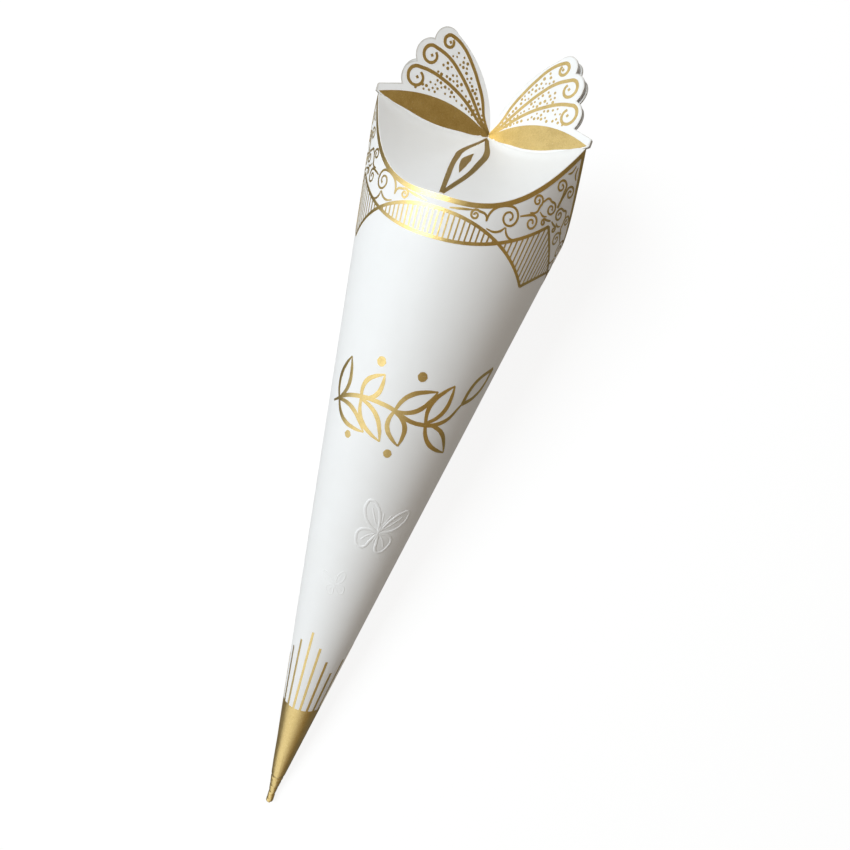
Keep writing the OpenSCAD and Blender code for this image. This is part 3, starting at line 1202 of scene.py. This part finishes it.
view = {
    "place": (16.2, -7.8, 201.2),
    "turn": 18.6, "tiltX": 0.0039, "tiltY": 0.0115, "lens": 26.0,
}


def makeCamera():
    data = bpy.data.cameras.new("camera")
    data.sensor_width = 36.0
    data.lens = view["lens"]
    data.clip_start = 0.01
    camera = newObject("camera", data)
    turn = radians(view["turn"])
    right = Vector((sin(turn), -cos(turn), 0.0))
    up = Vector((cos(turn), sin(turn), 0.0))
    level = Matrix((right, up, Vector((0.0, 0.0, 1.0))))
    tilt = Matrix.Rotation(view["tiltX"], 3, "X") @ Matrix.Rotation(view["tiltY"], 3, "Y")
    aim = (tilt @ level).transposed().to_4x4()
    camera.matrix_world = Matrix.Translation(Vector(view["place"]) * mm) @ aim
    bpy.context.scene.camera = camera


floorLook = {
    "size": 6.0,
    "seen": (0.16, 0.16, 0.16, 1.0),
    "bounced": (0.6, 0.6, 0.6, 1.0),
    "mirrored": (0.3, 0.27, 0.22, 1.0),
    "glow": 0.88,
}


def makeFloor():
    half = floorLook["size"] / 2
    corners = [(-half, -half, 0), (half, -half, 0), (half, half, 0), (-half, half, 0)]
    mesh = newMesh("floor", corners, [(0, 1, 2, 3)])
    floor = newObject("floor", mesh)
    material, tree, surface = newMaterial("pale floor")
    surface.inputs["Roughness"].default_value = 0.9
    surface.inputs["Specular IOR Level"].default_value = 0.0
    path = addNode(tree, "LightPath").outputs
    indirect = mixColours(tree, path["Is Glossy Ray"], floorLook["bounced"], floorLook["mirrored"])
    seen = mixColours(tree, path["Is Camera Ray"], indirect, floorLook["seen"])
    glow = addNode(tree, "Math", path["Is Camera Ray"], floorLook["glow"], operation="MULTIPLY")
    feed(tree, surface.inputs["Base Color"], seen)
    surface.inputs["Emission Color"].default_value = (1.0, 1.0, 1.0, 1.0)
    feed(tree, surface.inputs["Emission Strength"], glow)
    mesh.materials.append(material)


light = {
    "keyFrom": (0.12, 0.55, 0.82),
    "keyPower": 8.1, "keySize": 0.45,
    "keyColour": (0.87, 0.95, 1.0),
    "worldColour": (1.0, 0.88, 0.74),
    "worldStrength": 0.28,
    "mirrorTowards": (-0.77, 0.81, 0.0),
    "mirrorDark": (0.4, 0.31, 0.18, 1.0),
    "mirrorBright": (1.5, 1.54, 1.6, 1.0),
    "mirrorFrom": 0.08, "mirrorTo": 0.85,
}


def makeLamps():
    data = bpy.data.lights.new("key", "AREA")
    data.energy = light["keyPower"]
    data.size = light["keySize"]
    data.color = light["keyColour"]
    lamp = newObject("key", data)
    place = Vector(light["keyFrom"])
    lamp.matrix_world = Matrix.Translation(place) @ place.to_track_quat("Z", "Y").to_matrix().to_4x4()


def makeWorld():
    world = bpy.data.worlds.new("studio")
    world.use_nodes = True
    bpy.context.scene.world = world
    tree = world.node_tree
    soft = tree.nodes["Background"]
    soft.inputs["Color"].default_value = (*light["worldColour"], 1.0)
    soft.inputs["Strength"].default_value = light["worldStrength"]
    white = addNode(tree, "Background", Color=(1.0, 1.0, 1.0, 1.0), Strength=1.0)
    # What the foil mirrors: a bright studio on the left and a dark one on the right
    place = addNode(tree, "TexCoord").outputs["Generated"]
    toLeft = addNode(tree, "VectorMath", place, light["mirrorTowards"], operation="DOT_PRODUCT")
    spread = addNode(tree, "MapRange", interpolation_type="SMOOTHSTEP",
                     Value=toLeft.outputs["Value"], From_Min=light["mirrorFrom"], From_Max=light["mirrorTo"])
    tones = mixColours(tree, spread, light["mirrorDark"], light["mirrorBright"])
    mirrored = addNode(tree, "Background", Color=tones, Strength=1.0)
    path = addNode(tree, "LightPath").outputs
    inner = addNode(tree, "MixShader", path["Is Glossy Ray"], soft, mirrored)
    clear = addNode(tree, "Math", path["Is Camera Ray"], path["Is Transmission Ray"],
                    operation="MAXIMUM")
    outer = addNode(tree, "MixShader", clear, inner, white)
    feed(tree, tree.nodes["World Output"].inputs["Surface"], outer)


makeCamera()
makeFloor()
makeLamps()
makeWorld()
bpy.context.scene.view_settings.view_transform = "Standard"
print("the studio is set")
